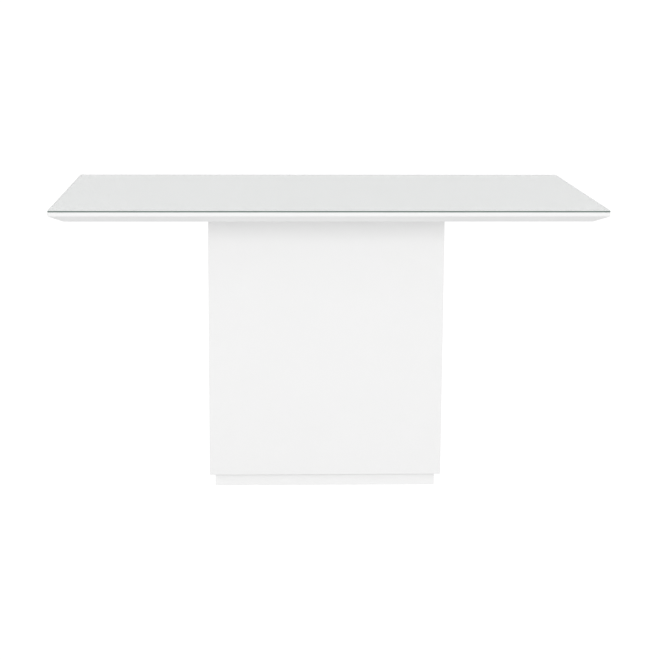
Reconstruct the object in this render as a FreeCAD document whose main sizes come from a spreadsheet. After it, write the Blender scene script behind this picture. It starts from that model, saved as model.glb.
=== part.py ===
# A rectangular pedestal dining table. A clear glass sheet lies on a white lacquered top with a bevelled
# edge, and a hollow box of lacquered panels, standing on a recessed plinth, carries it.
# Sizes are in millimetres. X runs along the table, Y from front to back and Z up, and the origin is on
# the floor under the middle of the top.
import FreeCAD, Part
import math
import os
import re
import Sketcher
from FreeCAD import Placement, Rotation, Vector

DRIVING_SIZES = {
    # The whole table
    "table_length": 1400,
    "table_depth": 800,
    "table_height": 780,
    # Glass sheet, and the silicone dots that it lies on
    "glass_thickness": 4,
    "glass_corner_radius": 3,
    "glass_arris": 0.5,
    "dot_diameter": 10,
    "dot_thickness": 1,
    "dot_inset": 60,
    "dot_column_count": 4,
    "dot_row_count": 3,
    # Table top: the board, and the strips that thicken its edge
    "board_thickness": 15,
    "straight_edge": 9,
    "bevel_width": 36,
    "nose_radius": 6,
    "strip_thickness": 12,
    "strip_width": 90,
    "batten_thickness": 12,
    "batten_width": 40,
    # Pad that locates the pedestal, and the bolts that hold it
    "pad_thickness": 12,
    "pad_clearance": 0.5,
    "insert_wall": 2,
    "insert_clearance": 0.1,
    "insert_end_clearance": 0.5,
    "bolt_diameter": 6,
    "bolt_clearance": 0.6,
    "thread_clearance": 0.1,
    "bolt_engagement": 15,
    "bolt_tip_clearance": 3,
    "bolt_chamfer": 1,
    "bolt_head_diameter": 10,
    "bolt_head_height": 6,
    "bolt_socket_width": 5,
    "bolt_socket_depth": 3,
    "bolt_end_inset": 90,
    "bolt_side_inset": 70,
    "washer_diameter": 18,
    "washer_thickness": 1.6,
    # Pedestal box
    "pedestal_length": 620,
    "pedestal_depth": 350,
    "panel_thickness": 15,
    "panel_arris": 1.5,
    "plate_thickness": 15,
    "divider_thickness": 15,
    # Dowels of the pedestal and of the plinth
    "dowel_diameter": 8,
    "dowel_length": 30,
    "dowel_chamfer": 1,
    "dowel_cover": 5,
    "dowel_clearance": 0.1,
    "dowel_end_clearance": 1,
    "panel_dowel_margin": 80,
    "panel_dowel_count": 4,
    "plate_dowel_end_inset": 145,
    "plate_dowel_side_inset": 80,
    "divider_dowel_margin": 80,
    "divider_dowel_count": 3,
    "plinth_dowel_margin": 25,
    "plinth_dowel_count": 2,
    # Plinth, with its screws, corner blocks and glides
    "plinth_reveal": 35,
    "plinth_overlap": 65,
    "plinth_thickness": 15,
    "plinth_arris": 1.5,
    "plinth_floor_gap": 1.5,
    "screw_diameter": 4,
    "screw_cover": 5,
    "screw_tip": 4,
    "screw_point": 0.8,
    "screw_head_diameter": 8,
    "screw_head_height": 2.4,
    "screw_recess_length": 4,
    "screw_recess_width": 1,
    "screw_recess_depth": 1.2,
    "screw_clearance": 0.1,
    "screw_end_inset": 100,
    "screw_side_inset": 90,
    "screw_column_count": 3,
    "screw_row_count": 2,
    "block_width": 40,
    "block_height": 60,
    "glide_diameter": 24,
    "glide_thickness": 4,
    "glide_edge": 1,
    "nail_diameter": 2.5,
    "nail_length": 18,
    "nail_tip": 3,
    "nail_point": 0.6,
    "nail_head_diameter": 7,
    "nail_head_height": 1,
    "nail_cover": 1.5,
    "nail_clearance": 0.05,
}

# Heights and spans that follow from the driving sizes
DERIVED_SIZES = {
    "half_length": "table_length / 2",
    "half_depth": "table_depth / 2",
    "glass_bottom": "table_height - glass_thickness",
    "board_top": "glass_bottom - dot_thickness",
    "board_bottom": "board_top - board_thickness",
    "strip_bottom": "board_bottom - strip_thickness",
    "bevel_height": "board_thickness + strip_thickness - straight_edge",
    "board_bevel_height": "board_thickness - straight_edge",
    "board_bevel_width": "bevel_width * board_bevel_height / bevel_height",
    "nose_angle": "atan(bevel_width / bevel_height)",
    "nose_run": "nose_radius * tan(nose_angle / 2)",
    "nose_inset": "nose_run * sin(nose_angle)",
    "nose_bottom": "board_bevel_height - nose_run * cos(nose_angle)",
    "nose_top": "board_bevel_height + nose_run",
    "batten_middle": "(pedestal_depth / 2 + half_depth - strip_width) / 2",
    "pad_bottom": "board_bottom - pad_thickness",
    "plate_bottom": "pad_bottom - plate_thickness",
    "cavity_length": "pedestal_length - 2 * panel_thickness",
    "cavity_depth": "pedestal_depth - 2 * panel_thickness",
    "pad_length": "cavity_length - 2 * pad_clearance",
    "pad_depth": "cavity_depth - 2 * pad_clearance",
    "plinth_top": "plinth_reveal + plinth_overlap",
    "plinth_inner_length": "cavity_length - 2 * plinth_thickness",
    "plinth_inner_depth": "cavity_depth - 2 * plinth_thickness",
    "bolt_shank": "washer_thickness + plate_thickness + bolt_engagement",
    "insert_diameter": "bolt_diameter + 2 * insert_wall",
    "insert_length": "bolt_engagement + bolt_tip_clearance",
    "panel_bite": "panel_thickness - dowel_cover - dowel_end_clearance",
    "plinth_bite": "plinth_thickness - dowel_cover - dowel_end_clearance",
    "screw_length": "plinth_thickness + panel_thickness - screw_cover",
}

doc = FreeCAD.newDocument("pedestal_dining_table")
sheet = doc.addObject("Spreadsheet::Sheet", "Sizes")
for row, (name, size) in enumerate(DRIVING_SIZES.items(), start=1):
    sheet.set(f"A{row}", name)
    sheet.set(f"B{row}", str(size))
    sheet.setAlias(f"B{row}", name)
doc.recompute()

nodes = {}
NEAR = 1e-6
# A sketch's own axes and origin, and the two ends of a line or arc, by the sketcher's numbers
ACROSS_INDEX, UP_INDEX = -1, -2
ORIGIN = (-1, 1)
START_INDEX, END_INDEX = 1, 2


def expression(formula):
    """Writes a formula of named sizes out in the sheet's own cells."""
    def cell(match):
        name = match[0]
        if name in DERIVED_SIZES:
            return f"({expression(DERIVED_SIZES[name])})"
        return f"Sizes.{name}" if name in DRIVING_SIZES else name
    return re.sub(r"[a-z]\w*", cell, formula)


def value(formula):
    """Works a formula out as a number."""
    return float(sheet.evalExpression(expression(formula)))


def bind(item, **formulas):
    """Ties an object's properties to formulas of the named sizes."""
    for name, formula in formulas.items():
        item.setExpression(name, expression(formula))


def place(item, spot, turn=Rotation()):
    """Sets an object's own origin on a spot, three formulas, after a turn about it."""
    item.Placement = Placement(Vector(), turn)
    for axis, formula in zip("xyz", spot):
        item.setExpression(f"Placement.Base.{axis}", expression(formula))


def new_sketch(body, role, name):
    """Lays an empty sketch on one of the body's own origin planes."""
    sketch = body.newObject("Sketcher::SketchObject", name)
    plane = next(feature for feature in body.Origin.OriginFeatures if feature.Role == role)
    sketch.AttachmentSupport = [(plane, "")]
    sketch.MapMode = "FlatFace"
    return sketch


def arc_middle(start, finish, radius):
    """Finds the middle of an arc that bulges right of its chord, or left if the radius is negative."""
    chord = finish - start
    half_chord = chord.Length / 2
    rise = abs(radius) - math.sqrt(radius ** 2 - half_chord ** 2)
    outwards = Vector(chord.y, -chord.x, 0).normalize()
    return (start + finish) / 2 + outwards * math.copysign(rise, radius)


def draw(sketch, corners, arcs=None):
    """Draws a closed outline, anticlockwise, through corners that are pairs of formulas.

    arcs gives the radius of each round side by the number of the corner it starts from, with a minus
    where the side is hollow.
    """
    arcs = arcs or {}
    points = [Vector(value(across), value(up), 0) for across, up in corners]
    ends = []
    for number, (start, finish) in enumerate(zip(points, points[1:] + points[:1])):
        side = Part.LineSegment(start, finish)
        if number in arcs:
            side = Part.Arc(start, arc_middle(start, finish, value(arcs[number])), finish)
        drawn = sketch.addGeometry(side)
        runs_forward = sketch.getPoint(drawn, START_INDEX).isEqual(start, NEAR)
        ends.append((drawn, START_INDEX, END_INDEX) if runs_forward else (drawn, END_INDEX, START_INDEX))
    for number, (across, up) in enumerate(corners):
        side, opening, _ = ends[number]
        last_side, _, closing = ends[number - 1]
        sketch.addConstraint(Sketcher.Constraint("Coincident", last_side, closing, side, opening))
        for kind, axis, formula in (("DistanceX", UP_INDEX, across), ("DistanceY", ACROSS_INDEX, up)):
            if formula == "0":
                sketch.addConstraint(Sketcher.Constraint("PointOnObject", side, opening, axis))
                continue
            tie = sketch.addConstraint(Sketcher.Constraint(kind, *ORIGIN, side, opening, value(formula)))
            sketch.setExpression(f"Constraints[{tie}]", expression(formula))
        if number in arcs:
            radius = arcs[number].lstrip("-")
            tie = sketch.addConstraint(Sketcher.Constraint("Radius", side, value(radius)))
            sketch.setExpression(f"Constraints[{tie}]", expression(radius))


def draw_rectangle(sketch, length, width):
    """Draws a rectangle centred on the sketch's origin."""
    right, top = f"({length}) / 2", f"({width}) / 2"
    draw(sketch, [(f"-{right}", f"-{top}"), (right, f"-{top}"), (right, top), (f"-{right}", top)])


def pad(body, sketch, length, side_type="One side"):
    """Grows a sketch into a solid, up from its plane or half to each side."""
    feature = body.newObject("PartDesign::Pad", f"{sketch.Name}_pad")
    feature.Profile = sketch
    feature.SideType = side_type
    bind(feature, Length=length)
    doc.recompute()


def pocket(body, sketch, depth=None):
    """Cuts a sketch upwards to a depth, or right through both ways, and makes sure that it cuts."""
    volume_before = body.Shape.Volume
    feature = body.newObject("PartDesign::Pocket", f"{sketch.Name}_pocket")
    feature.Profile = sketch
    if depth:
        feature.Reversed = True
        bind(feature, Length=depth)
    else:
        feature.SideType = "Symmetric"
        feature.Type = "ThroughAll"
    doc.recompute()
    assert body.Shape.Volume < volume_before, f"{feature.Name} cuts nothing"


def is_upright(edge):
    """Tells whether an edge runs along Z."""
    return abs(edge.tangentAt(edge.FirstParameter).z) > 0.5


def lies_at(edge, axis, place):
    """Tells whether both ends of an edge are at one place along an axis."""
    return all(abs(getattr(end.Point, axis) - place) < NEAR for end in edge.Vertexes)


def dress(body, kind, chosen, **formulas):
    """Adds a Fillet or a Chamfer to the edges of the body's last feature that chosen picks."""
    base = body.Tip
    edges = [f"Edge{number}" for number, edge in enumerate(base.Shape.Edges, start=1) if chosen(edge)]
    feature = body.newObject(f"PartDesign::{kind}", f"{body.Name}_{kind.lower()}")
    feature.Base = (base, edges)
    bind(feature, **formulas)
    doc.recompute()


def turned(name, profile, arcs=None):
    """Turns a profile of (radius, height) formulas about the Z axis."""
    body = doc.addObject("PartDesign::Body", name)
    sketch = new_sketch(body, "XZ_Plane", f"{name}_profile")
    draw(sketch, profile, arcs)
    feature = body.newObject("PartDesign::Revolution", f"{name}_turning")
    feature.Profile = sketch
    feature.ReferenceAxis = (sketch, ["V_Axis"])
    feature.Angle = 360
    doc.recompute()
    return body


def board(name, x_span, y_span, z_span):
    """Makes a square-edged board between the two formulas of each span."""
    body = doc.addObject("PartDesign::Body", name)
    sketch = new_sketch(body, "XY_Plane", f"{name}_outline")
    length, width, height = (f"({high}) - ({low})" for low, high in (x_span, y_span, z_span))
    draw_rectangle(sketch, length, width)
    pad(body, sketch, height)
    middle_x, middle_y = (f"(({low}) + ({high})) / 2" for low, high in (x_span, y_span))
    place(body, (middle_x, middle_y, z_span[0]))
    return body


def copies(name, master, spots):
    """Groups a separate copy of master for each of the spots, pairs of three formulas and a turn."""
    links = []
    for number, (spot, turn) in enumerate(spots, start=1):
        link = doc.addObject("App::Link", f"{name}_{number}")
        link.LinkedObject = master
        place(link, spot, turn)
        links.append(link)
    group = doc.addObject("Part::Compound", name)
    group.Links = links
    return group


def drilled(name, blank, *hole_groups):
    """Cuts groups of holes out of a blank, one after another."""
    for number, holes in enumerate(hole_groups, start=1):
        cut = doc.addObject("Part::Cut", f"{name}_cut_{number}")
        cut.Base = blank
        cut.Tool = holes
        blank = cut
    return blank


def keep(name, item):
    """Takes an object as the finished sub-part of this name."""
    item.Label = name
    nodes[name] = item


def spread(count):
    """Gives evenly spaced factors from -1 to 1."""
    return [2 * step / (count - 1) - 1 for step in range(count)] if count > 1 else [0]


def between(low, high, count):
    """Gives formulas of evenly spaced places from low to high."""
    return [f"(({high}) + ({low})) / 2 + {factor} * (({high}) - ({low})) / 2" for factor in spread(count)]


def count_of(name):
    """Reads a whole number from the sheet."""
    return round(value(name))


TO_BACK = Rotation(Vector(1, 0, 0), -90)
TO_FRONT = Rotation(Vector(1, 0, 0), 90)
TO_RIGHT = Rotation(Vector(0, 1, 0), 90)
TO_LEFT = Rotation(Vector(0, 1, 0), -90)
UPRIGHT = Rotation()

# Glass sheet: as large as the top, with small round corners and a ground arris
glass = doc.addObject("PartDesign::Body", "glass")
glass_outline = new_sketch(glass, "XY_Plane", "glass_outline")
draw_rectangle(glass_outline, "table_length", "table_depth")
pad(glass, glass_outline, "glass_thickness")
dress(glass, "Fillet", is_upright, Radius="glass_corner_radius")
dress(glass, "Chamfer", lambda edge: not is_upright(edge), Size="glass_arris")
place(glass, ("0", "0", "glass_bottom"))
keep("glass_top", glass)

# Silicone dots in an even grid, squeezed flat between the board and the glass
dot = turned("dot", [("0", "0"), ("dot_diameter / 2", "0"),
                     ("dot_diameter / 2", "dot_thickness"), ("0", "dot_thickness")])
dot_columns = between("dot_inset - half_length", "half_length - dot_inset", count_of("dot_column_count"))
dot_rows = between("dot_inset - half_depth", "half_depth - dot_inset", count_of("dot_row_count"))
dot_spots = [((x, y, "board_top"), UPRIGHT) for x in dot_columns for y in dot_rows]
keep("glass_dots", copies("dots", dot, dot_spots))

# Table board: a long section with a straight edge, a round nose and the start of the bevel at each end,
# then the same edge cut along the front and the back
top_blank = doc.addObject("PartDesign::Body", "top_blank")
long_section = new_sketch(top_blank, "XZ_Plane", "long_section")
draw(long_section, [
    ("-(half_length - board_bevel_width)", "0"),
    ("half_length - board_bevel_width", "0"),
    ("half_length - nose_inset", "nose_bottom"),
    ("half_length", "nose_top"),
    ("half_length", "board_thickness"),
    ("-half_length", "board_thickness"),
    ("-half_length", "nose_top"),
    ("-(half_length - nose_inset)", "nose_bottom"),
], arcs={2: "nose_radius", 6: "nose_radius"})
pad(top_blank, long_section, "table_depth", "Symmetric")
edge_waste = new_sketch(top_blank, "YZ_Plane", "edge_waste")
draw(edge_waste, [
    ("half_depth - board_bevel_width", "0"),
    ("half_depth", "0"),
    ("half_depth", "nose_top"),
    ("half_depth - nose_inset", "nose_bottom"),
], arcs={2: "-nose_radius"})
draw(edge_waste, [
    ("-half_depth", "0"),
    ("-(half_depth - board_bevel_width)", "0"),
    ("-(half_depth - nose_inset)", "nose_bottom"),
    ("-half_depth", "nose_top"),
], arcs={2: "-nose_radius"})
pocket(top_blank, edge_waste)
place(top_blank, ("0", "0", "board_bottom"))


def edge_strip(name, length, spot, degrees):
    """Makes a mitred strip that carries the board's bevel on down, with Y pointing in from the edge."""
    body = doc.addObject("PartDesign::Body", name)
    section = new_sketch(body, "YZ_Plane", f"{name}_section")
    draw(section, [("bevel_width", "0"), ("strip_width", "0"),
                   ("strip_width", "strip_thickness"), ("board_bevel_width", "strip_thickness")])
    pad(body, section, length, "Symmetric")
    mitres = new_sketch(body, "XY_Plane", f"{name}_mitres")
    end = f"({length}) / 2"
    draw(mitres, [(end, "0"), (end, "strip_width"), (f"{end} - strip_width", "strip_width")])
    draw(mitres, [(f"-{end}", "0"), (f"strip_width - {end}", "strip_width"), (f"-{end}", "strip_width")])
    pocket(body, mitres)
    place(body, spot, Rotation(Vector(0, 0, 1), degrees))
    keep(name, body)


# Edge strips, glued under the board on all four sides
edge_strip("edge_strip_front", "table_length", ("0", "-half_depth", "strip_bottom"), 0)
edge_strip("edge_strip_right", "table_depth", ("half_length", "0", "strip_bottom"), 90)
edge_strip("edge_strip_back", "table_length", ("0", "half_depth", "strip_bottom"), 180)
edge_strip("edge_strip_left", "table_depth", ("-half_length", "0", "strip_bottom"), 270)

# Battens that keep the board flat, halfway between the pedestal and the long strips
for side, sign in (("front", "-"), ("back", "")):
    middle = f"{sign}batten_middle"
    keep(f"batten_{side}", board(
        f"batten_{side}",
        ("strip_width - half_length", "half_length - strip_width"),
        (f"{middle} - batten_width / 2", f"{middle} + batten_width / 2"),
        ("board_bottom - batten_thickness", "board_bottom"),
    ))

# Threaded inserts for the pedestal's bolts, screwed up through the pad into the board
bolt_x = "(cavity_length / 2 - bolt_end_inset)"
bolt_y = "(cavity_depth / 2 - bolt_side_inset)"
bolt_centres = [(f"{end}{bolt_x}", f"{side}{bolt_y}") for end in ("-", "") for side in ("-", "")]


def at_bolts(height):
    """Gives the spots of the four bolts at one height."""
    return [((x, y, height), UPRIGHT) for x, y in bolt_centres]


insert_bore = "(bolt_diameter + thread_clearance) / 2"
insert = turned("insert", [(insert_bore, "0"), ("insert_diameter / 2", "0"),
                           ("insert_diameter / 2", "insert_length"), (insert_bore, "insert_length")])
keep("threaded_inserts", copies("inserts", insert, at_bolts("pad_bottom")))
insert_radius = "(insert_diameter + insert_clearance) / 2"
insert_hole_depth = "insert_length + insert_end_clearance"
insert_hole = turned("insert_hole", [("0", "0"), (insert_radius, "0"),
                                     (insert_radius, insert_hole_depth), ("0", insert_hole_depth)])
insert_holes = copies("insert_holes", insert_hole, at_bolts("pad_bottom"))
keep("top_board", drilled("top_board", top_blank, insert_holes))

# Mounting pad under the board, which the pedestal drops over
pad_blank = board(
    "pad_blank",
    ("-pad_length / 2", "pad_length / 2"),
    ("-pad_depth / 2", "pad_depth / 2"),
    ("pad_bottom", "board_bottom"),
)
keep("mounting_pad", drilled("mounting_pad", pad_blank, insert_holes))

# Socket-head bolts, head down, with a washer each under the pedestal's top plate
bolt_radius = "bolt_diameter / 2"
bolt_tip = "bolt_head_height + bolt_shank"
bolt = turned("bolt", [
    ("0", "0"),
    ("bolt_head_diameter / 2", "0"),
    ("bolt_head_diameter / 2", "bolt_head_height"),
    (bolt_radius, "bolt_head_height"),
    (bolt_radius, f"{bolt_tip} - bolt_chamfer"),
    (f"{bolt_radius} - bolt_chamfer", bolt_tip),
    ("0", bolt_tip),
])
hexagon = new_sketch(bolt, "XY_Plane", "bolt_hexagon")
draw(hexagon, [
    (f"bolt_socket_width / sqrt(3) * cos({angle})", f"bolt_socket_width / sqrt(3) * sin({angle})")
    for angle in range(30, 390, 60)
])
pocket(bolt, hexagon, "bolt_socket_depth")
keep("fixing_bolts", copies("bolts", bolt, at_bolts("plate_bottom - washer_thickness - bolt_head_height")))
bolt_hole_radius = "(bolt_diameter + bolt_clearance) / 2"
washer = turned("washer", [
    (bolt_hole_radius, "0"),
    ("washer_diameter / 2", "0"),
    ("washer_diameter / 2", "washer_thickness"),
    (bolt_hole_radius, "washer_thickness"),
])
keep("fixing_washers", copies("washers", washer, at_bolts("plate_bottom - washer_thickness")))
bolt_hole = turned("bolt_hole", [("0", "0"), (bolt_hole_radius, "0"),
                                 (bolt_hole_radius, "plate_thickness"), ("0", "plate_thickness")])
bolt_holes = copies("bolt_holes", bolt_hole, at_bolts("plate_bottom"))

# Dowels, all of one size: a plain peg with bevelled ends, and its hole with room for glue at each end
dowel_radius = "dowel_diameter / 2"
dowel = turned("dowel", [
    ("0", "0"),
    (f"{dowel_radius} - dowel_chamfer", "0"),
    (dowel_radius, "dowel_chamfer"),
    (dowel_radius, "dowel_length - dowel_chamfer"),
    (f"{dowel_radius} - dowel_chamfer", "dowel_length"),
    ("0", "dowel_length"),
])
dowel_hole_radius = "(dowel_diameter + dowel_clearance) / 2"
dowel_hole_end = "dowel_length + dowel_end_clearance"
dowel_hole = turned("dowel_hole", [
    ("0", "-dowel_end_clearance"),
    (dowel_hole_radius, "-dowel_end_clearance"),
    (dowel_hole_radius, dowel_hole_end),
    ("0", dowel_hole_end),
])


def dowel_joint(name, spots):
    """Keeps a group of dowels and returns the group of their holes."""
    keep(name, copies(f"{name}_pegs", dowel, spots))
    return copies(f"{name}_holes", dowel_hole, spots)


def front_and_back(joint_depth, bite, places):
    """Gives spots of dowels at (x, z) places that bite into the boards before and behind a joint depth."""
    start = f"({joint_depth} / 2 + {bite})"
    in_front = [((x, f"-{start}", z), TO_BACK) for x, z in places]
    behind = [((x, start, z), TO_FRONT) for x, z in places]
    return in_front + behind


# Corner joints of the pedestal: the side panels' edges are dowelled to the front and back panels
side_panel_x = "((pedestal_length - panel_thickness) / 2)"
panel_dowel_heights = between("plinth_reveal + panel_dowel_margin", "board_bottom - panel_dowel_margin",
                              count_of("panel_dowel_count"))
panel_dowel_places = [(f"{end}{side_panel_x}", z) for end in ("-", "") for z in panel_dowel_heights]
panel_dowel_spots = front_and_back("cavity_depth", "panel_bite", panel_dowel_places)
panel_dowel_holes = dowel_joint("panel_dowels", panel_dowel_spots)

# Joints of the top plate, two on each of its four edges
plate_middle = "plate_bottom + plate_thickness / 2"
plate_dowel_x = "(cavity_length / 2 - plate_dowel_end_inset)"
plate_dowel_y = "(cavity_depth / 2 - plate_dowel_side_inset)"
plate_dowel_places = [(f"{end}{plate_dowel_x}", plate_middle) for end in ("-", "")]
plate_dowel_spots = front_and_back("cavity_depth", "panel_bite", plate_dowel_places)
end_start = "(cavity_length / 2 + panel_bite)"
for side in ("-", ""):
    plate_dowel_spots.append(((f"-{end_start}", f"{side}{plate_dowel_y}", plate_middle), TO_RIGHT))
    plate_dowel_spots.append(((end_start, f"{side}{plate_dowel_y}", plate_middle), TO_LEFT))
plate_dowel_holes = dowel_joint("plate_dowels", plate_dowel_spots)

# Joints of the divider's upright edges
divider_heights = between("plinth_top + divider_dowel_margin", "plate_bottom - divider_dowel_margin",
                          count_of("divider_dowel_count"))
divider_dowel_spots = front_and_back("cavity_depth", "panel_bite", [("0", z) for z in divider_heights])
divider_dowel_holes = dowel_joint("divider_dowels", divider_dowel_spots)

# Corner joints of the plinth
plinth_side_x = "((cavity_length - plinth_thickness) / 2)"
plinth_dowel_heights = between("plinth_floor_gap + plinth_dowel_margin", "plinth_top - plinth_dowel_margin",
                               count_of("plinth_dowel_count"))
plinth_dowel_places = [(f"{end}{plinth_side_x}", z) for end in ("-", "") for z in plinth_dowel_heights]
plinth_dowel_spots = front_and_back("plinth_inner_depth", "plinth_bite", plinth_dowel_places)
plinth_dowel_holes = dowel_joint("plinth_dowels", plinth_dowel_spots)

# Countersunk screws with a cross recess and a small flat point, driven from inside the plinth into the
# pedestal's panels
screw_radius = "screw_diameter / 2"
screw = turned("screw", [
    ("0", "-screw_length"),
    ("screw_point / 2", "-screw_length"),
    (screw_radius, "screw_tip - screw_length"),
    (screw_radius, "-screw_head_height"),
    ("screw_head_diameter / 2", "0"),
    ("0", "0"),
])
recess_long = ("-screw_recess_length / 2", "screw_recess_length / 2")
recess_wide = ("-screw_recess_width / 2", "screw_recess_width / 2")
recess_deep = ("-screw_recess_depth", "0")
recess_arms = [
    board("recess_arm_x", recess_long, recess_wide, recess_deep),
    board("recess_arm_y", recess_wide, recess_long, recess_deep),
]
recessed_screw = drilled("recessed_screw", screw, *recess_arms)
screw_hole_end = "-(screw_length + screw_clearance)"
screw_hole_radius = f"{screw_radius} + screw_clearance"
screw_hole = turned("screw_hole", [
    ("0", screw_hole_end),
    ("screw_point / 2 + screw_clearance", screw_hole_end),
    (screw_hole_radius, f"screw_tip + {screw_hole_end}"),
    (screw_hole_radius, "-screw_head_height"),
    ("screw_head_diameter / 2 + screw_clearance", "0"),
    ("0", "0"),
])
screw_height = "(plinth_reveal + plinth_top) / 2"
screw_columns = between("screw_end_inset - cavity_length / 2", "cavity_length / 2 - screw_end_inset",
                        count_of("screw_column_count"))
screw_rows = between("screw_side_inset - cavity_depth / 2", "cavity_depth / 2 - screw_side_inset",
                     count_of("screw_row_count"))
screw_spots = []
for x in screw_columns:
    screw_spots.append(((x, "-plinth_inner_depth / 2", screw_height), TO_BACK))
    screw_spots.append(((x, "plinth_inner_depth / 2", screw_height), TO_FRONT))
for y in screw_rows:
    screw_spots.append((("-plinth_inner_length / 2", y, screw_height), TO_RIGHT))
    screw_spots.append((("plinth_inner_length / 2", y, screw_height), TO_LEFT))
keep("plinth_screws", copies("screws", recessed_screw, screw_spots))
screw_holes = copies("screw_holes", screw_hole, screw_spots)

# Pedestal panels: the front and back cover the side panels' edges and have eased outer arrises
for side, sign in (("front", "-"), ("back", "")):
    outer, inner = f"{sign}pedestal_depth / 2", f"{sign}cavity_depth / 2"
    panel = board(
        f"{side}_panel_blank",
        ("-pedestal_length / 2", "pedestal_length / 2"),
        (outer, inner) if sign else (inner, outer),
        ("plinth_reveal", "board_bottom"),
    )
    outer_side = value(f"{sign}panel_thickness / 2")
    dress(panel, "Fillet", lambda edge: lies_at(edge, "y", outer_side), Radius="panel_arris")
    name = f"pedestal_{side}_panel"
    keep(name, drilled(name, panel, panel_dowel_holes, plate_dowel_holes, divider_dowel_holes, screw_holes))
for side, sign in (("left", "-"), ("right", "")):
    outer, inner = f"{sign}pedestal_length / 2", f"{sign}cavity_length / 2"
    panel = board(
        f"{side}_panel_blank",
        (outer, inner) if sign else (inner, outer),
        ("-cavity_depth / 2", "cavity_depth / 2"),
        ("plinth_reveal", "board_bottom"),
    )
    outer_side = value(f"{sign}panel_thickness / 2")
    dress(panel, "Fillet", lambda edge: lies_at(edge, "x", outer_side) and lies_at(edge, "z", 0),
          Radius="panel_arris")
    name = f"pedestal_{side}_panel"
    keep(name, drilled(name, panel, panel_dowel_holes, plate_dowel_holes, screw_holes))

# Top plate, flush inside the panels, which the bolts pull up against the pad
plate_blank = board(
    "plate_blank",
    ("-cavity_length / 2", "cavity_length / 2"),
    ("-cavity_depth / 2", "cavity_depth / 2"),
    ("plate_bottom", "pad_bottom"),
)
keep("pedestal_top_plate", drilled("pedestal_top_plate", plate_blank, bolt_holes, plate_dowel_holes))

# Centre divider, which stands on the plinth and props the top plate
divider_blank = board(
    "divider_blank",
    ("-divider_thickness / 2", "divider_thickness / 2"),
    ("-cavity_depth / 2", "cavity_depth / 2"),
    ("plinth_top", "plate_bottom"),
)
keep("centre_divider", drilled("centre_divider", divider_blank, divider_dowel_holes))

# Plinth boards, screwed inside the panels and standing out below them
plinth_span = ("plinth_floor_gap", "plinth_top")
for side, sign in (("front", "-"), ("back", "")):
    outer, inner = f"{sign}cavity_depth / 2", f"{sign}plinth_inner_depth / 2"
    blank = board(
        f"plinth_{side}_blank",
        ("-cavity_length / 2", "cavity_length / 2"),
        (outer, inner) if sign else (inner, outer),
        plinth_span,
    )
    outer_side = value(f"{sign}plinth_thickness / 2")
    dress(blank, "Fillet", lambda edge: lies_at(edge, "y", outer_side) and is_upright(edge),
          Radius="plinth_arris")
    keep(f"plinth_{side}", drilled(f"plinth_{side}", blank, plinth_dowel_holes, screw_holes))
for side, sign in (("left", "-"), ("right", "")):
    outer, inner = f"{sign}cavity_length / 2", f"{sign}plinth_inner_length / 2"
    blank = board(
        f"plinth_{side}_blank",
        (outer, inner) if sign else (inner, outer),
        ("-plinth_inner_depth / 2", "plinth_inner_depth / 2"),
        plinth_span,
    )
    keep(f"plinth_{side}", drilled(f"plinth_{side}", blank, plinth_dowel_holes, screw_holes))

# Glides: a moulded pad with the flat head of its nail inside, under the middle of each corner block
block_x = "(plinth_inner_length / 2 - block_width / 2)"
block_y = "(plinth_inner_depth / 2 - block_width / 2)"
block_centres = [(f"{end}{block_x}", f"{side}{block_y}") for end in ("-", "") for side in ("-", "")]
glide_spots = [((x, y, "0"), UPRIGHT) for x, y in block_centres]
nail_radius = "nail_diameter / 2"
nail_head_radius = "nail_head_diameter / 2"
nail_head_top = "nail_cover + nail_head_height"
nail_end = "nail_cover + nail_length"
nail = turned("nail", [
    ("0", "nail_cover"),
    (nail_head_radius, "nail_cover"),
    (nail_head_radius, nail_head_top),
    (nail_radius, nail_head_top),
    (nail_radius, f"{nail_end} - nail_tip"),
    ("nail_point / 2", nail_end),
    ("0", nail_end),
])
keep("glide_nails", copies("nails", nail, glide_spots))
nail_hole_radius = f"{nail_radius} + nail_clearance"
nail_head_hole_radius = f"{nail_head_radius} + nail_clearance"
glide = turned("glide", [
    ("0", "0"),
    ("glide_diameter / 2 - glide_edge", "0"),
    ("glide_diameter / 2", "glide_edge"),
    ("glide_diameter / 2", "glide_thickness"),
    (nail_hole_radius, "glide_thickness"),
    (nail_hole_radius, f"{nail_head_top} + nail_clearance"),
    (nail_head_hole_radius, f"{nail_head_top} + nail_clearance"),
    (nail_head_hole_radius, "nail_cover"),
    ("0", "nail_cover"),
], arcs={1: "glide_edge"})
keep("glide_pads", copies("glides", glide, glide_spots))
nail_hole = turned("nail_hole", [
    ("0", "glide_thickness"),
    (nail_hole_radius, "glide_thickness"),
    (nail_hole_radius, f"{nail_end} + nail_clearance"),
    ("0", f"{nail_end} + nail_clearance"),
])
nail_holes = copies("nail_holes", nail_hole, glide_spots)

# Corner blocks glued into the plinth, one to each glide
for side, side_sign in (("front", "-"), ("back", "")):
    for end, end_sign in (("left", "-"), ("right", "")):
        name = f"corner_block_{side}_{end}"
        block = board(
            f"{name}_blank",
            (f"{end_sign}{block_x} - block_width / 2", f"{end_sign}{block_x} + block_width / 2"),
            (f"{side_sign}{block_y} - block_width / 2", f"{side_sign}{block_y} + block_width / 2"),
            ("glide_thickness", "glide_thickness + block_height"),
        )
        keep(name, drilled(name, block, nail_holes))

doc.recompute()
for item in doc.Objects:
    assert not {"Invalid", "Error"} & set(item.State), f"{item.Name} failed: {item.State}"
for name, item in nodes.items():
    assert not item.Shape.isNull() and item.Shape.isValid(), f"{name} has no valid shape"
    assert item.Shape.Solids, f"{name} has no solid"
os.makedirs("parts", exist_ok=True)
for name, item in nodes.items():
    item.Shape.exportStep(f"parts/{name}.step")
print(f"{len(nodes)} nodes, {sum(len(item.Shape.Solids) for item in nodes.values())} solids")
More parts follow.
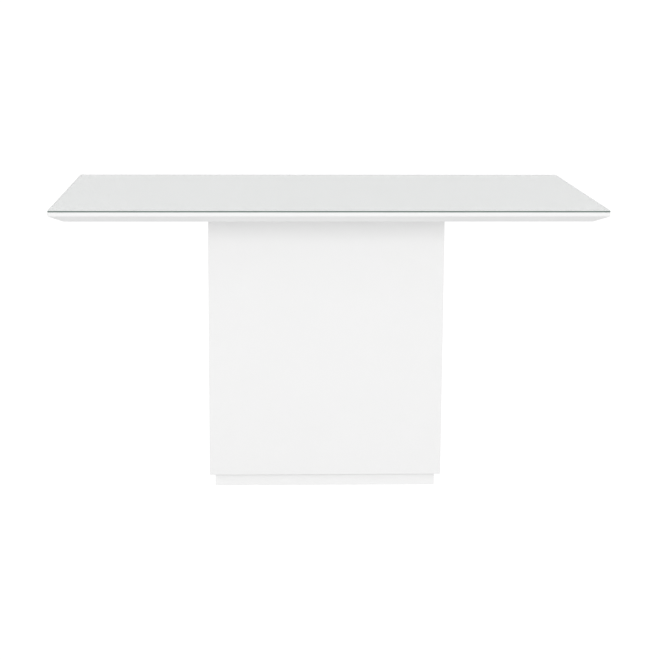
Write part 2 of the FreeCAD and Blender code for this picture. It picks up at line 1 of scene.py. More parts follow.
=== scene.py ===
import math

import bpy
import numpy as np
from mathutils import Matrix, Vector


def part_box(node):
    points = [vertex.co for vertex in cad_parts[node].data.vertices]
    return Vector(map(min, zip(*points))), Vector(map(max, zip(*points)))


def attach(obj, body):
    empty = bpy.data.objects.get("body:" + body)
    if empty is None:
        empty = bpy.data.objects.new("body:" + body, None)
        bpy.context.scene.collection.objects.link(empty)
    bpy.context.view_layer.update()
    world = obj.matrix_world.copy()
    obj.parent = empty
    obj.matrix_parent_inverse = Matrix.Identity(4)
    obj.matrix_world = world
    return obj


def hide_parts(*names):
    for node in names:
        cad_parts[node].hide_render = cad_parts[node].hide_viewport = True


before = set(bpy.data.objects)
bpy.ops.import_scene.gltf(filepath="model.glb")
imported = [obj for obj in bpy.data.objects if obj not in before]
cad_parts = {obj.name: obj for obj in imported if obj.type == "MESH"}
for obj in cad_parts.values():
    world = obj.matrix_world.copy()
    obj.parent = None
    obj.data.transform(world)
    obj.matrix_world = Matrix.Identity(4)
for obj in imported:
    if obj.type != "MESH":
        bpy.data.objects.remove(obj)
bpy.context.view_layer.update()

# Plinth: four fibreboard boards, dowelled into a ring and lacquered white. Its upper part stands inside
# the pedestal, screwed to the panels, and its lower part shows as a recessed foot. The foot's lacquer is
# painted a little whiter than the rest of the table: painted light that lifts the shade under the pedestal.
PLINTH_ARRIS = 0.0015
SEAM_EASE = 0.0003
# The least radius round a corner, for the sharp hips where two bevels meet
HIP_RADIUS = 0.00005
# The boards' inner faces lie back by this much, so that the heads of the screws show
SCREW_SHOW = 0.0001
ARRIS_STEPS = 8
CORNER_STEPS = 6
SIDES = {"front": (0, -1, 0), "back": (0, 1, 0), "left": (-1, 0, 0), "right": (1, 0, 0)}
COVERING_SIDES = ("front", "back")
UP = (0, 0, 1)
LENGTHWISE = (1, 0, 0)


def eased_line(corners, radii):
    """Rounds the bends of a line and returns its points and outward unit normals.

    A bend that turns by a, with radius r, starts r tan(a / 2) before its corner. There the arc's centre
    lies r to the side it turns to, and the points swing round it with the heading. The line runs with
    the solid on its left, so its normals point to the right.
    """
    corners = np.array(corners, float)
    runs = np.diff(corners, axis=0)
    runs /= np.linalg.norm(runs, axis=1, keepdims=True)
    headings = np.arctan2(runs[:, 1], runs[:, 0])
    turns = (np.diff(headings) + np.pi) % (2 * np.pi) - np.pi
    sides = np.sign(turns)[:, None]
    radii = np.array(radii, float)[:, None]
    lefts = np.stack([-runs[:, 1], runs[:, 0]], axis=1)
    starts = corners[1:-1] - runs[:-1] * radii * np.tan(np.abs(turns) / 2)[:, None]
    centres = starts + lefts[:-1] * radii * sides
    swing = headings[:-1, None] + turns[:, None] * np.linspace(0, 1, ARRIS_STEPS + 1)
    rights = np.stack([np.sin(swing), -np.cos(swing)], axis=2)
    arcs = centres[:, None] + rights * (radii * sides)[:, None]
    points = np.concatenate([corners[:1], arcs.reshape(-1, 2), corners[-1:]])
    normals = np.concatenate([-lefts[:1], rights.reshape(-1, 2), -lefts[-1:]])
    return points, normals


def carried_round(line, half_length, half_width, corner):
    """Carries a line of (out, up) points round a rectangle with round corners.

    A point that is moved in by t runs on the rectangle made smaller by t on each side, whose corner
    radius is corner - t, but no less than a hip's. Normals lean out along the rectangle's own normal.
    """
    points, normals = line
    quarter = np.linspace(0, np.pi / 2, CORNER_STEPS + 1)
    angles = (quarter + np.arange(4)[:, None] * np.pi / 2).ravel()
    ways = np.stack([np.cos(angles), np.sin(angles)], axis=1)
    quadrants = np.repeat([[1, 1], [-1, 1], [-1, -1], [1, -1]], CORNER_STEPS + 1, axis=0)
    out = points[:, :1, None]
    radius = np.maximum(corner + out, HIP_RADIUS)
    reach = np.array([half_length, half_width]) + out - radius
    flat = quadrants * reach + ways * radius
    up = np.broadcast_to(points[:, 1:, None], flat[:, :, :1].shape)
    lean = normals[:, :1, None] * ways
    lift = np.broadcast_to(normals[:, 1:, None], up.shape)
    return np.concatenate([flat, up], axis=2), np.concatenate([lean, lift], axis=2)


def face_normals(mesh):
    """Reads the normals of a mesh's faces into one array."""
    normals = np.empty(3 * len(mesh.polygons), np.float32)
    mesh.polygons.foreach_get("normal", normals)
    return normals.reshape(-1, 3)


def make_piece(name, rings, normals, finishes, row_finishes=0):
    """Closes stacks of rings into a mesh: quads from ring to ring and a flat face over each end.

    Rings and normals are arrays of stacks by rings by points. The quads between two rings take the
    finish that row_finishes numbers, and the end faces take the first.
    """
    stacks, count, around = rings.shape[:3]
    numbers = np.arange(stacks * count * around).reshape(stacks, count, around)
    after = np.roll(numbers, -1, axis=2)
    quads = np.stack([numbers[:, :-1], after[:, :-1], after[:, 1:], numbers[:, 1:]], axis=3)
    quads = quads.reshape(-1, 4)
    ends = np.concatenate([numbers[:, 0, ::-1], numbers[:, -1]])
    mesh = bpy.data.meshes.new(name)
    mesh.from_pydata(rings.reshape(-1, 3), [], quads.tolist() + ends.tolist())
    quad_normals = normals.reshape(-1, 3)[quads.ravel()]
    end_normals = np.repeat(face_normals(mesh)[len(quads):], around, axis=0)
    mesh.polygons.foreach_set("use_smooth", np.ones(len(mesh.polygons), bool))
    mesh.normals_split_custom_set(np.concatenate([quad_normals, end_normals]))
    rows = np.broadcast_to(np.array(row_finishes)[..., None], (count - 1, around))
    slots = np.concatenate([np.tile(rows.ravel(), stacks), np.zeros(len(ends), int)])
    mesh.polygons.foreach_set("material_index", slots)
    for finish in finishes:
        mesh.materials.append(finish)
    piece = bpy.data.objects.new(name, mesh)
    bpy.context.scene.collection.objects.link(piece)
    return piece


def fit(piece, node):
    """Puts a piece in its node's place, fast on the table."""
    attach(piece, "root")
    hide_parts(node)


def laid(vectors, along, out):
    """Turns (along, across, out) vectors into the table's frame; across is square to the other two."""
    along, out = Vector(along), Vector(out)
    return vectors @ np.array([along, out.cross(along), out])


def eased_board(node, out, arris, finish, back=0.0):
    """Makes a lacquered board in a node's box, whose face on the out side has round arrises of a radius.

    Its back face lies inside the box by the length back. From there its edge line climbs, over a seam's
    small ease and the straight rim, to the arris and the face.
    """
    low, high = (np.array(corner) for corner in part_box(node))
    size, middle = high - low, (low + high) / 2
    out = np.array(out, float)
    along = np.array(LENGTHWISE, float) if out[2] else np.cross(UP, out)
    half_length, half_width = abs(size @ along) / 2, abs(size @ np.cross(out, along)) / 2
    thickness = abs(size @ out)
    rim = arris + SEAM_EASE
    line = eased_line([(-rim, back), (0, back), (0, thickness), (-rim, thickness)], [SEAM_EASE, arris])
    rings, normals = carried_round(line, half_length, half_width, rim + SEAM_EASE)
    place = middle - out * thickness / 2
    board = make_piece(f"{node}_lacquered", laid(rings, along, out)[None] + place,
                       laid(normals, along, out)[None], [finish])
    fit(board, node)
    return board


class Value:
    """A shader value that takes part in sums: each operator adds its Math node to the material."""

    def __init__(self, socket):
        self.socket = socket

    def node(self, kind, settings, sockets, output=0):
        """Adds a node of a kind, sets its settings, then fills its sockets with values or links."""
        tree = self.socket.id_data
        made = tree.nodes.new(kind)
        for name, setting in settings.items():
            setattr(made, name, setting)
        for key, given in sockets.items():
            if isinstance(given, Value):
                tree.links.new(given.socket, made.inputs[key])
            else:
                made.inputs[key].default_value = given
        return Value(made.outputs[output]) if made.outputs else None

    def __add__(self, other):
        return self.node("ShaderNodeMath", {"operation": "ADD"}, {0: self, 1: other})

    __radd__ = __add__

    def __mul__(self, other):
        return self.node("ShaderNodeMath", {"operation": "MULTIPLY"}, {0: self, 1: other})

    __rmul__ = __mul__

    def stretched(self, *shares):
        """Scales a place along X, Y and Z, so that a pattern read there runs long where a share is small."""
        return self.node("ShaderNodeVectorMath", {"operation": "MULTIPLY"}, {0: self, 1: shares})

    def noise(self, per_metre, detail=2.0):
        """Reads soft noise at this place, with so many features to the metre."""
        return self.node("ShaderNodeTexNoise", {}, {"Vector": self, "Scale": per_metre, "Detail": detail})

    def above(self, start, end):
        """Rises smoothly from 0 to 1 as this value goes from start to end."""
        return self.node("ShaderNodeMapRange", {"interpolation_type": "SMOOTHSTEP"},
                         {"Value": self, "From Min": start, "From Max": end})

    def blend(self, start, end):
        """Mixes two colours, with this value as the share of the second.

        A Mix node takes its colours at the sockets 6 and 7 and gives the mixed one at its output 2.
        """
        sockets = {"Factor": self, 6: start, 7: end}
        return self.node("ShaderNodeMix", {"data_type": "RGBA"}, sockets, output=2)

    def relief(self, height, strength=0.5):
        """Raises a surface by this value times a height in metres."""
        return self.node("ShaderNodeBump", {}, {"Height": self, "Distance": height, "Strength": strength})

    def shine(self, **sockets):
        """Ends the material in a Principled shader with these sockets, named with _ for a space."""
        filled = {name.replace("_", " "): given for name, given in sockets.items()}
        shader = self.node("ShaderNodeBsdfPrincipled", {}, filled)
        self.node("ShaderNodeOutputMaterial", {}, {"Surface": shader})


def new_finish(name):
    """Starts an empty material and returns it with the place on the piece, in metres."""
    finish = bpy.data.materials.new(name)
    finish.use_nodes = True
    finish.node_tree.nodes.clear()
    coordinates = finish.node_tree.nodes.new("ShaderNodeTexCoord")
    return finish, Value(coordinates.outputs["Object"])


# Satin lacquer, sprayed and rubbed down
CLOUDS_PER_METRE = 7.0
SHEEN_PER_METRE = 55.0
SATIN_ROUGHNESS = 0.3
SATIN_SPREAD = 0.1
TOP_COAT = 0.2
TOP_COAT_ROUGHNESS = 0.12
PEEL_PER_METRE = 420.0
PEEL_HEIGHT = 0.00006
PEEL_STRENGTH = 0.25
# The foot's lacquer, painted whiter as painted light against the shade under the overhanging pedestal
PLINTH_PAINTED_LIGHT_THIN = (0.845, 0.845, 0.843, 1)
PLINTH_PAINTED_LIGHT_FULL = (0.86, 0.86, 0.86, 1)


def satin_lacquer(name, thin, full):
    """Makes a lacquer with faint clouds of tone, an uneven sheen and a fine orange peel."""
    finish, spot = new_finish(name)
    spot.shine(
        Base_Color=spot.noise(CLOUDS_PER_METRE).blend(thin, full),
        Roughness=SATIN_ROUGHNESS + SATIN_SPREAD * spot.noise(SHEEN_PER_METRE),
        Coat_Weight=TOP_COAT,
        Coat_Roughness=TOP_COAT_ROUGHNESS,
        Normal=spot.noise(PEEL_PER_METRE, detail=1.0).relief(PEEL_HEIGHT, PEEL_STRENGTH),
    )
    return finish


# A whiter copy of the table's lacquer for the foot: painted light, lifting the shade under the pedestal
painted_light_plinth_lacquer = satin_lacquer("painted_light_plinth_lacquer", PLINTH_PAINTED_LIGHT_THIN, PLINTH_PAINTED_LIGHT_FULL)

# Grey primer, all that shows on the inner faces and on the lower edges, which look down to the floor
PRIMER_THIN = (0.57, 0.57, 0.565, 1)
PRIMER_FULL = (0.65, 0.65, 0.645, 1)
SANDING_PER_METRE = 900.0
SANDING_HEIGHT = 0.00005
PRIMER_ROUGHNESS = 0.6
PRIMER_SPREAD = 0.2
FACING_AWAY = -0.9
primer, spot = new_finish("primer")
sanded = spot.noise(SANDING_PER_METRE, detail=3.0)
spot.shine(
    Base_Color=sanded.blend(PRIMER_THIN, PRIMER_FULL),
    Roughness=PRIMER_ROUGHNESS + PRIMER_SPREAD * sanded,
    Normal=sanded.relief(SANDING_HEIGHT),
)


def leave_primed(board, out):
    """Leaves the lower edge and the inner face of an upright board in their primer."""
    facings = face_normals(board.data) @ np.array([out, UP]).T
    board.data.materials.append(primer)
    board.data.polygons.foreach_set("material_index", (facings < FACING_AWAY).any(axis=1).astype(int))


for side, out in SIDES.items():
    arris = PLINTH_ARRIS if side in COVERING_SIDES else SEAM_EASE
    leave_primed(eased_board(f"plinth_{side}", out, arris, painted_light_plinth_lacquer, SCREW_SHOW), out)

# Beech: all the dowels, and the blocks glued into the plinth's corners, cut from solid wood and left raw.
# The grain runs up the blocks, with the short dark flecks of beech.
BEECH_PALE = (0.61, 0.42, 0.26, 1)
BEECH_DARK = (0.47, 0.29, 0.16, 1)
BEECH_FLECK = (0.33, 0.18, 0.09, 1)
GRAIN_STRETCH = (1, 1, 0.06)
GRAIN_PER_METRE = 160.0
GRAIN_TURN = (0.3, 0.7)
GRAIN_HEIGHT = 0.0001
FLECK_STRETCH = (1, 1, 0.18)
FLECKS_PER_METRE = 900.0
FLECK_TURN = (0.62, 0.7)
BEECH_ROUGHNESS = 0.55
BEECH_SPREAD = 0.2


def coat(finish, *nodes):
    """Gives the solids of these nodes a finish."""
    for node in nodes:
        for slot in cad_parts[node].material_slots:
            slot.material = finish


beech, spot = new_finish("beech")
grain = spot.stretched(*GRAIN_STRETCH).noise(GRAIN_PER_METRE, detail=4.0)
flecks = spot.stretched(*FLECK_STRETCH).noise(FLECKS_PER_METRE, detail=1.0).above(*FLECK_TURN)
spot.shine(
    Base_Color=flecks.blend(grain.above(*GRAIN_TURN).blend(BEECH_PALE, BEECH_DARK), BEECH_FLECK),
    Roughness=BEECH_ROUGHNESS + BEECH_SPREAD * grain,
    Normal=grain.relief(GRAIN_HEIGHT),
)
coat(beech, "plinth_dowels", "panel_dowels", "plate_dowels", "divider_dowels")
coat(beech, *(f"corner_block_{end}_{side}" for end in ("front", "back") for side in ("left", "right")))

# Glides: four black plastic pads under the corner blocks, each moulded round the head of the nail that
# holds it. They lift the plinth just clear of the floor.
PLASTIC_BLACK = (0.012, 0.012, 0.013, 1)
PLASTIC_RUBBED = (0.035, 0.034, 0.033, 1)
RUBS_PER_METRE = 240.0
RUB_TURN = (0.45, 0.75)
PLASTIC_ROUGHNESS = 0.42
PLASTIC_SPREAD = 0.25
MOULD_GRAIN_PER_METRE = 2600.0
MOULD_GRAIN_HEIGHT = 0.00003
glide_plastic, spot = new_finish("glide_plastic")
rubbed = spot.noise(RUBS_PER_METRE, detail=3.0).above(*RUB_TURN)
spot.shine(
    Base_Color=rubbed.blend(PLASTIC_BLACK, PLASTIC_RUBBED),
    Roughness=PLASTIC_ROUGHNESS + PLASTIC_SPREAD * rubbed,
    Normal=spot.noise(MOULD_GRAIN_PER_METRE, detail=1.0).relief(MOULD_GRAIN_HEIGHT),
)
coat(glide_plastic, "glide_pads")

# Screws, nails, bolts and washers: steel, zinc plated bright, with the plating's cloudy bloom.
# The screws hold the plinth, the nails hold the glides, and the bolts hold the pedestal to the top.
ZINC_BRIGHT = (0.72, 0.73, 0.75, 1)
ZINC_BLOOM = (0.55, 0.57, 0.61, 1)
BLOOM_PER_METRE = 300.0
BLOOM_TURN = (0.35, 0.7)
ZINC_ROUGHNESS = 0.2
ZINC_SPREAD = 0.25
ROLLING_STRETCH = (1, 1, 8)
ROLLING_PER_METRE = 700.0
ROLLING_HEIGHT = 0.00001
zinc_steel, spot = new_finish("zinc_steel")
bloom = spot.noise(BLOOM_PER_METRE, detail=3.0)
rolling_marks = spot.stretched(*ROLLING_STRETCH).noise(ROLLING_PER_METRE, detail=1.0)
spot.shine(
    Base_Color=bloom.above(*BLOOM_TURN).blend(ZINC_BRIGHT, ZINC_BLOOM),
    Metallic=1.0,
    Roughness=ZINC_ROUGHNESS + ZINC_SPREAD * bloom,
    Normal=rolling_marks.relief(ROLLING_HEIGHT),
)
coat(zinc_steel, "plinth_screws", "glide_nails", "fixing_bolts", "fixing_washers")

# Pedestal panels: four lacquered fibreboard panels, dowelled at the corners into a hollow upright box.
# The front and back panels cover the side panels' edges and have eased arrises.
PANEL_ARRIS = 0.0015
LACQUER_THIN = (0.805, 0.805, 0.803, 1)
LACQUER_FULL = (0.82, 0.82, 0.82, 1)
white_lacquer = satin_lacquer("white_lacquer", LACQUER_THIN, LACQUER_FULL)
for side, out in SIDES.items():
    arris = PANEL_ARRIS if side in COVERING_SIDES else SEAM_EASE
    leave_primed(eased_board(f"pedestal_{side}_panel", out, arris, white_lacquer), out)

# Top plate, centre divider and mounting pad: raw fibreboard, sawn and left bare because they are hidden.
# Plate and divider are dowelled in the pedestal. The pad, glued under the board, centres the pedestal.
FIBRE_PALE = (0.47, 0.33, 0.2, 1)
FIBRE_DARK = (0.33, 0.215, 0.12, 1)
FIBRE_FLECK = (0.2, 0.12, 0.06, 1)
FIBRE_STRETCH = (1, 0.6, 1)
FIBRES_PER_METRE = 1400.0
FIBRE_HEIGHT = 0.00008
FIBRE_ROUGHNESS = 0.75
FIBRE_SPREAD = 0.15
FIBRE_SHARE = 0.5
PRESSING_PER_METRE = 30.0
PRESSING_TURN = (0.3, 0.7)
SPECKS_PER_METRE = 2300.0
SPECK_TURN = (0.66, 0.74)
raw_fibreboard, spot = new_finish("raw_fibreboard")
fibres = spot.stretched(*FIBRE_STRETCH).noise(FIBRES_PER_METRE, detail=3.0)
specks = spot.noise(SPECKS_PER_METRE, detail=1.0).above(*SPECK_TURN)
pressed = FIBRE_SHARE * fibres + (1 - FIBRE_SHARE) * spot.noise(PRESSING_PER_METRE)
spot.shine(
    Base_Color=specks.blend(pressed.above(*PRESSING_TURN).blend(FIBRE_PALE, FIBRE_DARK), FIBRE_FLECK),
    Roughness=FIBRE_ROUGHNESS + FIBRE_SPREAD * fibres,
    Normal=fibres.relief(FIBRE_HEIGHT),
)
coat(raw_fibreboard, "pedestal_top_plate", "centre_divider", "mounting_pad")

# Threaded inserts: turned brass sleeves, driven into the pad and board to take the fixing bolts.
# Brass that was turned and left plain dulls in patches.
BRASS_CLEAN = (0.72, 0.53, 0.22, 1)
BRASS_DULL = (0.48, 0.34, 0.14, 1)
DULLING_PER_METRE = 350.0
DULLING_TURN = (0.4, 0.75)
BRASS_ROUGHNESS = 0.22
BRASS_SPREAD = 0.3
TURNING_STRETCH = (1, 1, 12)
TURNING_PER_METRE = 600.0
TURNING_HEIGHT = 0.00001
insert_brass, spot = new_finish("insert_brass")
dulled = spot.noise(DULLING_PER_METRE, detail=3.0)
turning_marks = spot.stretched(*TURNING_STRETCH).noise(TURNING_PER_METRE, detail=1.0)
spot.shine(
    Base_Color=dulled.above(*DULLING_TURN).blend(BRASS_CLEAN, BRASS_DULL),
    Metallic=1.0,
    Roughness=BRASS_ROUGHNESS + BRASS_SPREAD * dulled,
    Normal=turning_marks.relief(TURNING_HEIGHT),
)
coat(insert_brass, "threaded_inserts")

# Table board: one fibreboard panel, lacquered white, cut with a short straight edge and a round nose.
# Below the nose its edge starts the wide bevel that makes the top look thin.
STRAIGHT_EDGE = 0.009
NOSE_RADIUS = 0.006
TOP_EASE = 0.0008
CORNER_RADIUS = 0.003
GLUE_EASE = 0.00003
# The width of the first ring on a flat face, which keeps its shading flat
FLAT_RIM = 0.0002
board_low, board_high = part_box("top_board")
strip_low, strip_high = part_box("edge_strip_front")
half_length, half_depth = board_high.x, board_high.y
board_bevel = strip_low.y - board_low.y
bevel_top = board_high.z - STRAIGHT_EDGE
board_line = eased_line(
    [
        (-board_bevel - FLAT_RIM, board_low.z),
        (-board_bevel, board_low.z),
        (0, bevel_top),
        (0, board_high.z),
        (-TOP_EASE - FLAT_RIM, board_high.z),
    ],
    [GLUE_EASE, NOSE_RADIUS, TOP_EASE],
)
rings, normals = carried_round(board_line, half_length, half_depth, CORNER_RADIUS)
table_board = make_piece("table_board", rings[None], normals[None], [white_lacquer])
fit(table_board, "top_board")

# Edge strips: four fibreboard strips, mitred at the corners and glued under the board.
# They are shaped and lacquered with it, so that the bevel runs on without a step.
STRIP_EASE = 0.002
bevel_width = board_bevel * (bevel_top - strip_low.z) / (bevel_top - strip_high.z)
strip_inside = board_bevel + strip_high.y - strip_low.y
strip_middle = -(board_bevel + strip_inside) / 2
strip_line = eased_line(
    [
        (strip_middle, strip_high.z),
        (-strip_inside, strip_high.z),
        (-strip_inside, strip_low.z),
        (-bevel_width, strip_low.z),
        (-board_bevel, strip_high.z),
        (strip_middle + FLAT_RIM, strip_high.z),
    ],
    [SEAM_EASE, SEAM_EASE, STRIP_EASE, GLUE_EASE],
)


def mitred(line, half_span, half_reach):
    """Carries a line of (out, up) points along one side of the top, to a mitre at each end.

    A point moved in by t ends t short of each end, so that the end lies on the corner's 45 degree plane.
    """
    points, leans = line
    ends = np.array([[1.0], [-1.0]])
    along = ends * (half_span + points[:, 0])
    across = np.broadcast_to(-half_reach - points[:, 0], along.shape)
    up = np.broadcast_to(points[:, 1], along.shape)
    flat = np.stack([np.zeros(len(leans)), -leans[:, 0], leans[:, 1]], axis=1)
    return np.stack([along, across, up], axis=2), np.broadcast_to(flat, (*along.shape, 3))


for quarter, side in enumerate(("front", "right", "back", "left")):
    spans = (half_length, half_depth) if side in ("front", "back") else (half_depth, half_length)
    along = (math.cos(quarter * math.pi / 2), math.sin(quarter * math.pi / 2), 0)
    rings, normals = (laid(vectors, along, UP)[None] for vectors in mitred(strip_line, *spans))
    strip = make_piece(f"edge_strip_{side}_lacquered", rings, normals, [white_lacquer])
    fit(strip, f"edge_strip_{side}")

# Battens: two lacquered fibreboard rails, glued flat under the board in front of and behind the pedestal.
# They keep the long overhangs from sagging.
BATTEN_ARRIS = 0.002
DOWN = (0, 0, -1)
for side in ("front", "back"):
    eased_board(f"batten_{side}", DOWN, BATTEN_ARRIS, white_lacquer)

# Silicone dots: twelve soft, milky clear dots, stuck to the board in rows, that the glass lies on.
# Its weight presses them flat above and below, and their sides bulge.
DOT_COLUMNS = 4
DOT_ROWS = 3
DOT_DIAMETER = 0.010
DOT_BULGE = 0.0006
DOT_STEPS = 40
# The room above and below a dot, so that its flat faces don't lie in those of the glass and the board
DOT_CLEARANCE = 0.00002
SILICONE_CLEAN = (0.78, 0.8, 0.79, 1)
SILICONE_DUSTY = (0.7, 0.715, 0.71, 1)
SILICONE_IOR = 1.41
SILICONE_ROUGHNESS = 0.15
SILICONE_SPREAD = 0.2
DUST_PER_METRE = 500.0
DUST_TURN = (0.4, 0.8)
DUST_HEIGHT = 0.00002


def pressed_dots(radius, bulge, height, centres):
    """Turns a half ellipse about each centre.

    For v over a half turn, the ellipse lies r - b + b cos v out and h / 2 (1 + sin v) up.
    """
    turn = np.arange(DOT_STEPS) * 2 * np.pi / DOT_STEPS
    rise = np.linspace(-np.pi / 2, np.pi / 2, ARRIS_STEPS + 1)[:, None]
    out = radius - bulge + bulge * np.cos(rise)
    up = height / 2 * (1 + np.sin(rise)) + 0 * turn
    dot = np.stack([out * np.cos(turn), out * np.sin(turn), up], axis=2)
    lean, lift = np.cos(rise) * height / 2, np.sin(rise) * bulge
    normals = np.stack([lean * np.cos(turn), lean * np.sin(turn), lift + 0 * turn], axis=2)
    normals /= np.linalg.norm(normals, axis=2, keepdims=True)
    return centres[:, None, None] + dot, np.broadcast_to(normals, (len(centres), *normals.shape))


silicone, spot = new_finish("silicone")
dust = spot.noise(DUST_PER_METRE, detail=3.0)
spot.shine(
    Base_Color=dust.above(*DUST_TURN).blend(SILICONE_CLEAN, SILICONE_DUSTY),
    Roughness=SILICONE_ROUGHNESS + SILICONE_SPREAD * dust,
    IOR=SILICONE_IOR,
    Normal=dust.relief(DUST_HEIGHT),
)
dots_low, dots_high = (np.array(corner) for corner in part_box("glass_dots"))
columns = np.linspace(dots_low[0], dots_high[0] - DOT_DIAMETER, DOT_COLUMNS) + DOT_DIAMETER / 2
rows = np.linspace(dots_low[1], dots_high[1] - DOT_DIAMETER, DOT_ROWS) + DOT_DIAMETER / 2
centres = np.stack(np.meshgrid(columns, rows, [dots_low[2] + DOT_CLEARANCE]), axis=-1).reshape(-1, 3)
dot_height = dots_high[2] - dots_low[2] - 2 * DOT_CLEARANCE
rings, normals = pressed_dots(DOT_DIAMETER / 2, DOT_BULGE, dot_height, centres)
dots = make_piece("silicone_dots", rings, normals, [silicone])
fit(dots, "glass_dots")

# Glass: a clear float glass sheet as large as the top, laid loose on the dots. Its edge is ground flat and
# looks dark grey green, because it is seen through the whole length of the sheet, and its arrises are
# left frosted by the grinding.
GLASS_ARRIS = 0.0005
GLASS_CORNER = 0.003
GLASS_IOR = 1.52

# The clear faces, with the faint film that wiping leaves
GLASS_CLEAR = (0.975, 0.992, 0.986, 1)
GLASS_WIPED = (0.98, 0.995, 0.99, 1)
WIPES_PER_METRE = 3.0
FILM_PER_METRE = 9.0
FILM_ROUGHNESS = 0.003
clear_glass, spot = new_finish("clear_glass")
spot.shine(
    Base_Color=spot.noise(WIPES_PER_METRE).blend(GLASS_CLEAR, GLASS_WIPED),
    Roughness=FILM_ROUGHNESS * spot.noise(FILM_PER_METRE),
    IOR=GLASS_IOR,
    Transmission_Weight=1.0,
)

# The ground edge, with the deep tone of the sheet's whole length
EDGE_DEEP = (0.112, 0.159, 0.139, 1)
EDGE_PALE = (0.164, 0.222, 0.199, 1)
DEPTHS_PER_METRE = 12.0
GRINDING_PER_METRE = 60.0
EDGE_ROUGHNESS = 0.15
EDGE_SPREAD = 0.1
glass_edge, spot = new_finish("glass_edge")
spot.shine(
    Base_Color=spot.noise(DEPTHS_PER_METRE).blend(EDGE_DEEP, EDGE_PALE),
    Roughness=EDGE_ROUGHNESS + EDGE_SPREAD * spot.noise(GRINDING_PER_METRE),
    IOR=GLASS_IOR,
)

# The arrises, frosted by small chips
FROST_PALE = (0.84, 0.88, 0.86, 1)
FROST_DARK = (0.72, 0.77, 0.75, 1)
CHIPS_PER_METRE = 2000.0
CHIP_TURN = (0.5, 0.75)
CHIP_HEIGHT = 0.00003
FROST_ROUGHNESS = 0.45
FROST_SPREAD = 0.2
ground_arris, spot = new_finish("ground_arris")
chips = spot.noise(CHIPS_PER_METRE, detail=3.0)
spot.shine(
    Base_Color=chips.above(*CHIP_TURN).blend(FROST_PALE, FROST_DARK),
    Roughness=FROST_ROUGHNESS + FROST_SPREAD * chips,
    IOR=GLASS_IOR,
    Normal=chips.relief(CHIP_HEIGHT),
)

glass_finishes = [clear_glass, glass_edge, ground_arris]
CLEAR, EDGE, FROSTED = range(len(glass_finishes))
glass_low, glass_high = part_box("glass_top")
rim = GLASS_ARRIS + FLAT_RIM
glass_line = eased_line(
    [(-rim, glass_low.z), (0, glass_low.z), (0, glass_high.z), (-rim, glass_high.z)],
    [GLASS_ARRIS, GLASS_ARRIS],
)
glass_rows = np.repeat([CLEAR, FROSTED, EDGE, FROSTED, CLEAR], [1, ARRIS_STEPS, 1, ARRIS_STEPS, 1])
rings, normals = carried_round(glass_line, glass_high.x, glass_high.y, GLASS_CORNER)
glass_sheet = make_piece("glass_sheet", rings[None], normals[None], glass_finishes, glass_rows)
fit(glass_sheet, "glass_top")

# Floor and backdrop: a pale sheet of acrylic, lit through from below, and a white tent all round it.
# The tent is what the eye sees, burnt out to white, and it casts no light. Neither is part of the table.
STAGE_REACH = 40.0
STAGE_ROUGHNESS = 0.9
WHITE = (1, 1, 1, 1)
FLOOR_SHADE = 0.4
FLOOR_GLOW = 0.448
TENT_SHADE = 0.0
TENT_GLOW = 1.05
SQUARE = ((-1, -1), (1, -1), (1, 1), (-1, 1))
TENT_FACES = [(0, 1, 2, 3), (4, 5, 6, 7), (0, 1, 5, 4), (1, 2, 6, 5), (2, 3, 7, 6), (3, 0, 4, 7)]


def stage_piece(name, corners, faces, shade, glow):
    """Makes a plain glowing surface of the stage from corners in reaches."""
    surface, spot = new_finish(name)
    spot.shine(
        Base_Color=(shade, shade, shade, 1),
        Roughness=STAGE_ROUGHNESS,
        Emission_Color=WHITE,
        Emission_Strength=glow,
    )
    mesh = bpy.data.meshes.new(name)
    mesh.from_pydata(STAGE_REACH * np.array(corners, float), [], faces)
    mesh.materials.append(surface)
    piece = bpy.data.objects.new(name, mesh)
    bpy.context.scene.collection.objects.link(piece)
    return piece


floor_corners = [(x, y, 0) for x, y in SQUARE]
tent_corners = [(x, y, z) for z in (-1, 1) for x, y in SQUARE]
floor = stage_piece("floor", floor_corners, [(0, 1, 2, 3)], FLOOR_SHADE, FLOOR_GLOW)
floor.visible_camera = False
tent = stage_piece("white_tent", tent_corners, TENT_FACES, TENT_SHADE, TENT_GLOW)
for rays in ("diffuse", "glossy", "transmission", "shadow"):
    setattr(tent, f"visible_{rays}", False)

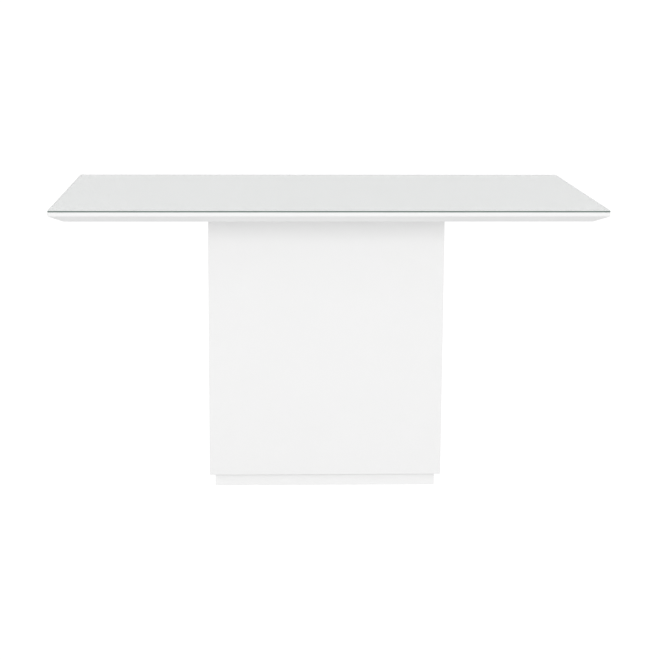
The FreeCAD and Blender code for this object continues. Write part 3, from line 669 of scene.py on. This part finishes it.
# Light: even pale surroundings, and one broad soft box behind the camera, a little higher than the top.
# The box is kept out of the glass, so that no side sees its mirror image, and it lights the board straight
# through the sheet.
SURROUNDING_GLOW = 0.86
SOFT_BOX_PLACE = (0.0, -5.5, 1.9)
SOFT_BOX_TARGET = (0.0, 0.0, 0.7)
SOFT_BOX_SIZE = (6.0, 2.0)
SOFT_BOX_WATTS = 99.7
world = bpy.data.worlds.new("studio")
world.use_nodes = True
surroundings = world.node_tree.nodes["Background"].inputs
surroundings["Color"].default_value = WHITE
surroundings["Strength"].default_value = SURROUNDING_GLOW
bpy.context.scene.world = world
lamp = bpy.data.lights.new("soft_box", "AREA")
lamp.shape = "RECTANGLE"
lamp.size, lamp.size_y = SOFT_BOX_SIZE
lamp.energy = SOFT_BOX_WATTS
soft_box = bpy.data.objects.new("soft_box", lamp)
soft_box.location = SOFT_BOX_PLACE
aim = Vector(SOFT_BOX_TARGET) - Vector(SOFT_BOX_PLACE)
soft_box.rotation_euler = aim.to_track_quat("-Z", "Y").to_euler()
soft_box.visible_glossy = False
bpy.context.scene.collection.objects.link(soft_box)
left_out = bpy.data.collections.new("left_out_of_soft_box")
left_out.objects.link(glass_sheet)
left_out.collection_objects[0].light_linking.link_state = "EXCLUDE"
soft_box.light_linking.receiver_collection = left_out
soft_box.light_linking.blocker_collection = left_out

# Camera: at the photograph's angle, a little left of the middle and above the top, with a long lens.
# Light isn't blurred on its way through the glass, which would dim the board below it.
SENSOR = 36.0
LENS = 93.15
SHIFT = (0.03, -0.05)
CAMERA_PLACE = (-0.1751, -4.6035, 1.3432)
PITCH_DOWN = 10.515
ROLL = 0.22
YAW_RIGHT = 1.677
camera_data = bpy.data.cameras.new("camera")
camera_data.sensor_width = SENSOR
camera_data.lens = LENS
camera_data.shift_x, camera_data.shift_y = SHIFT
camera = bpy.data.objects.new("camera", camera_data)
camera.location = CAMERA_PLACE
camera.rotation_euler = np.radians([90 - PITCH_DOWN, -ROLL, -YAW_RIGHT])
bpy.context.scene.collection.objects.link(camera)
bpy.context.scene.camera = camera
bpy.context.scene.view_settings.view_transform = "Standard"
bpy.context.scene.cycles.blur_glossy = 0.0
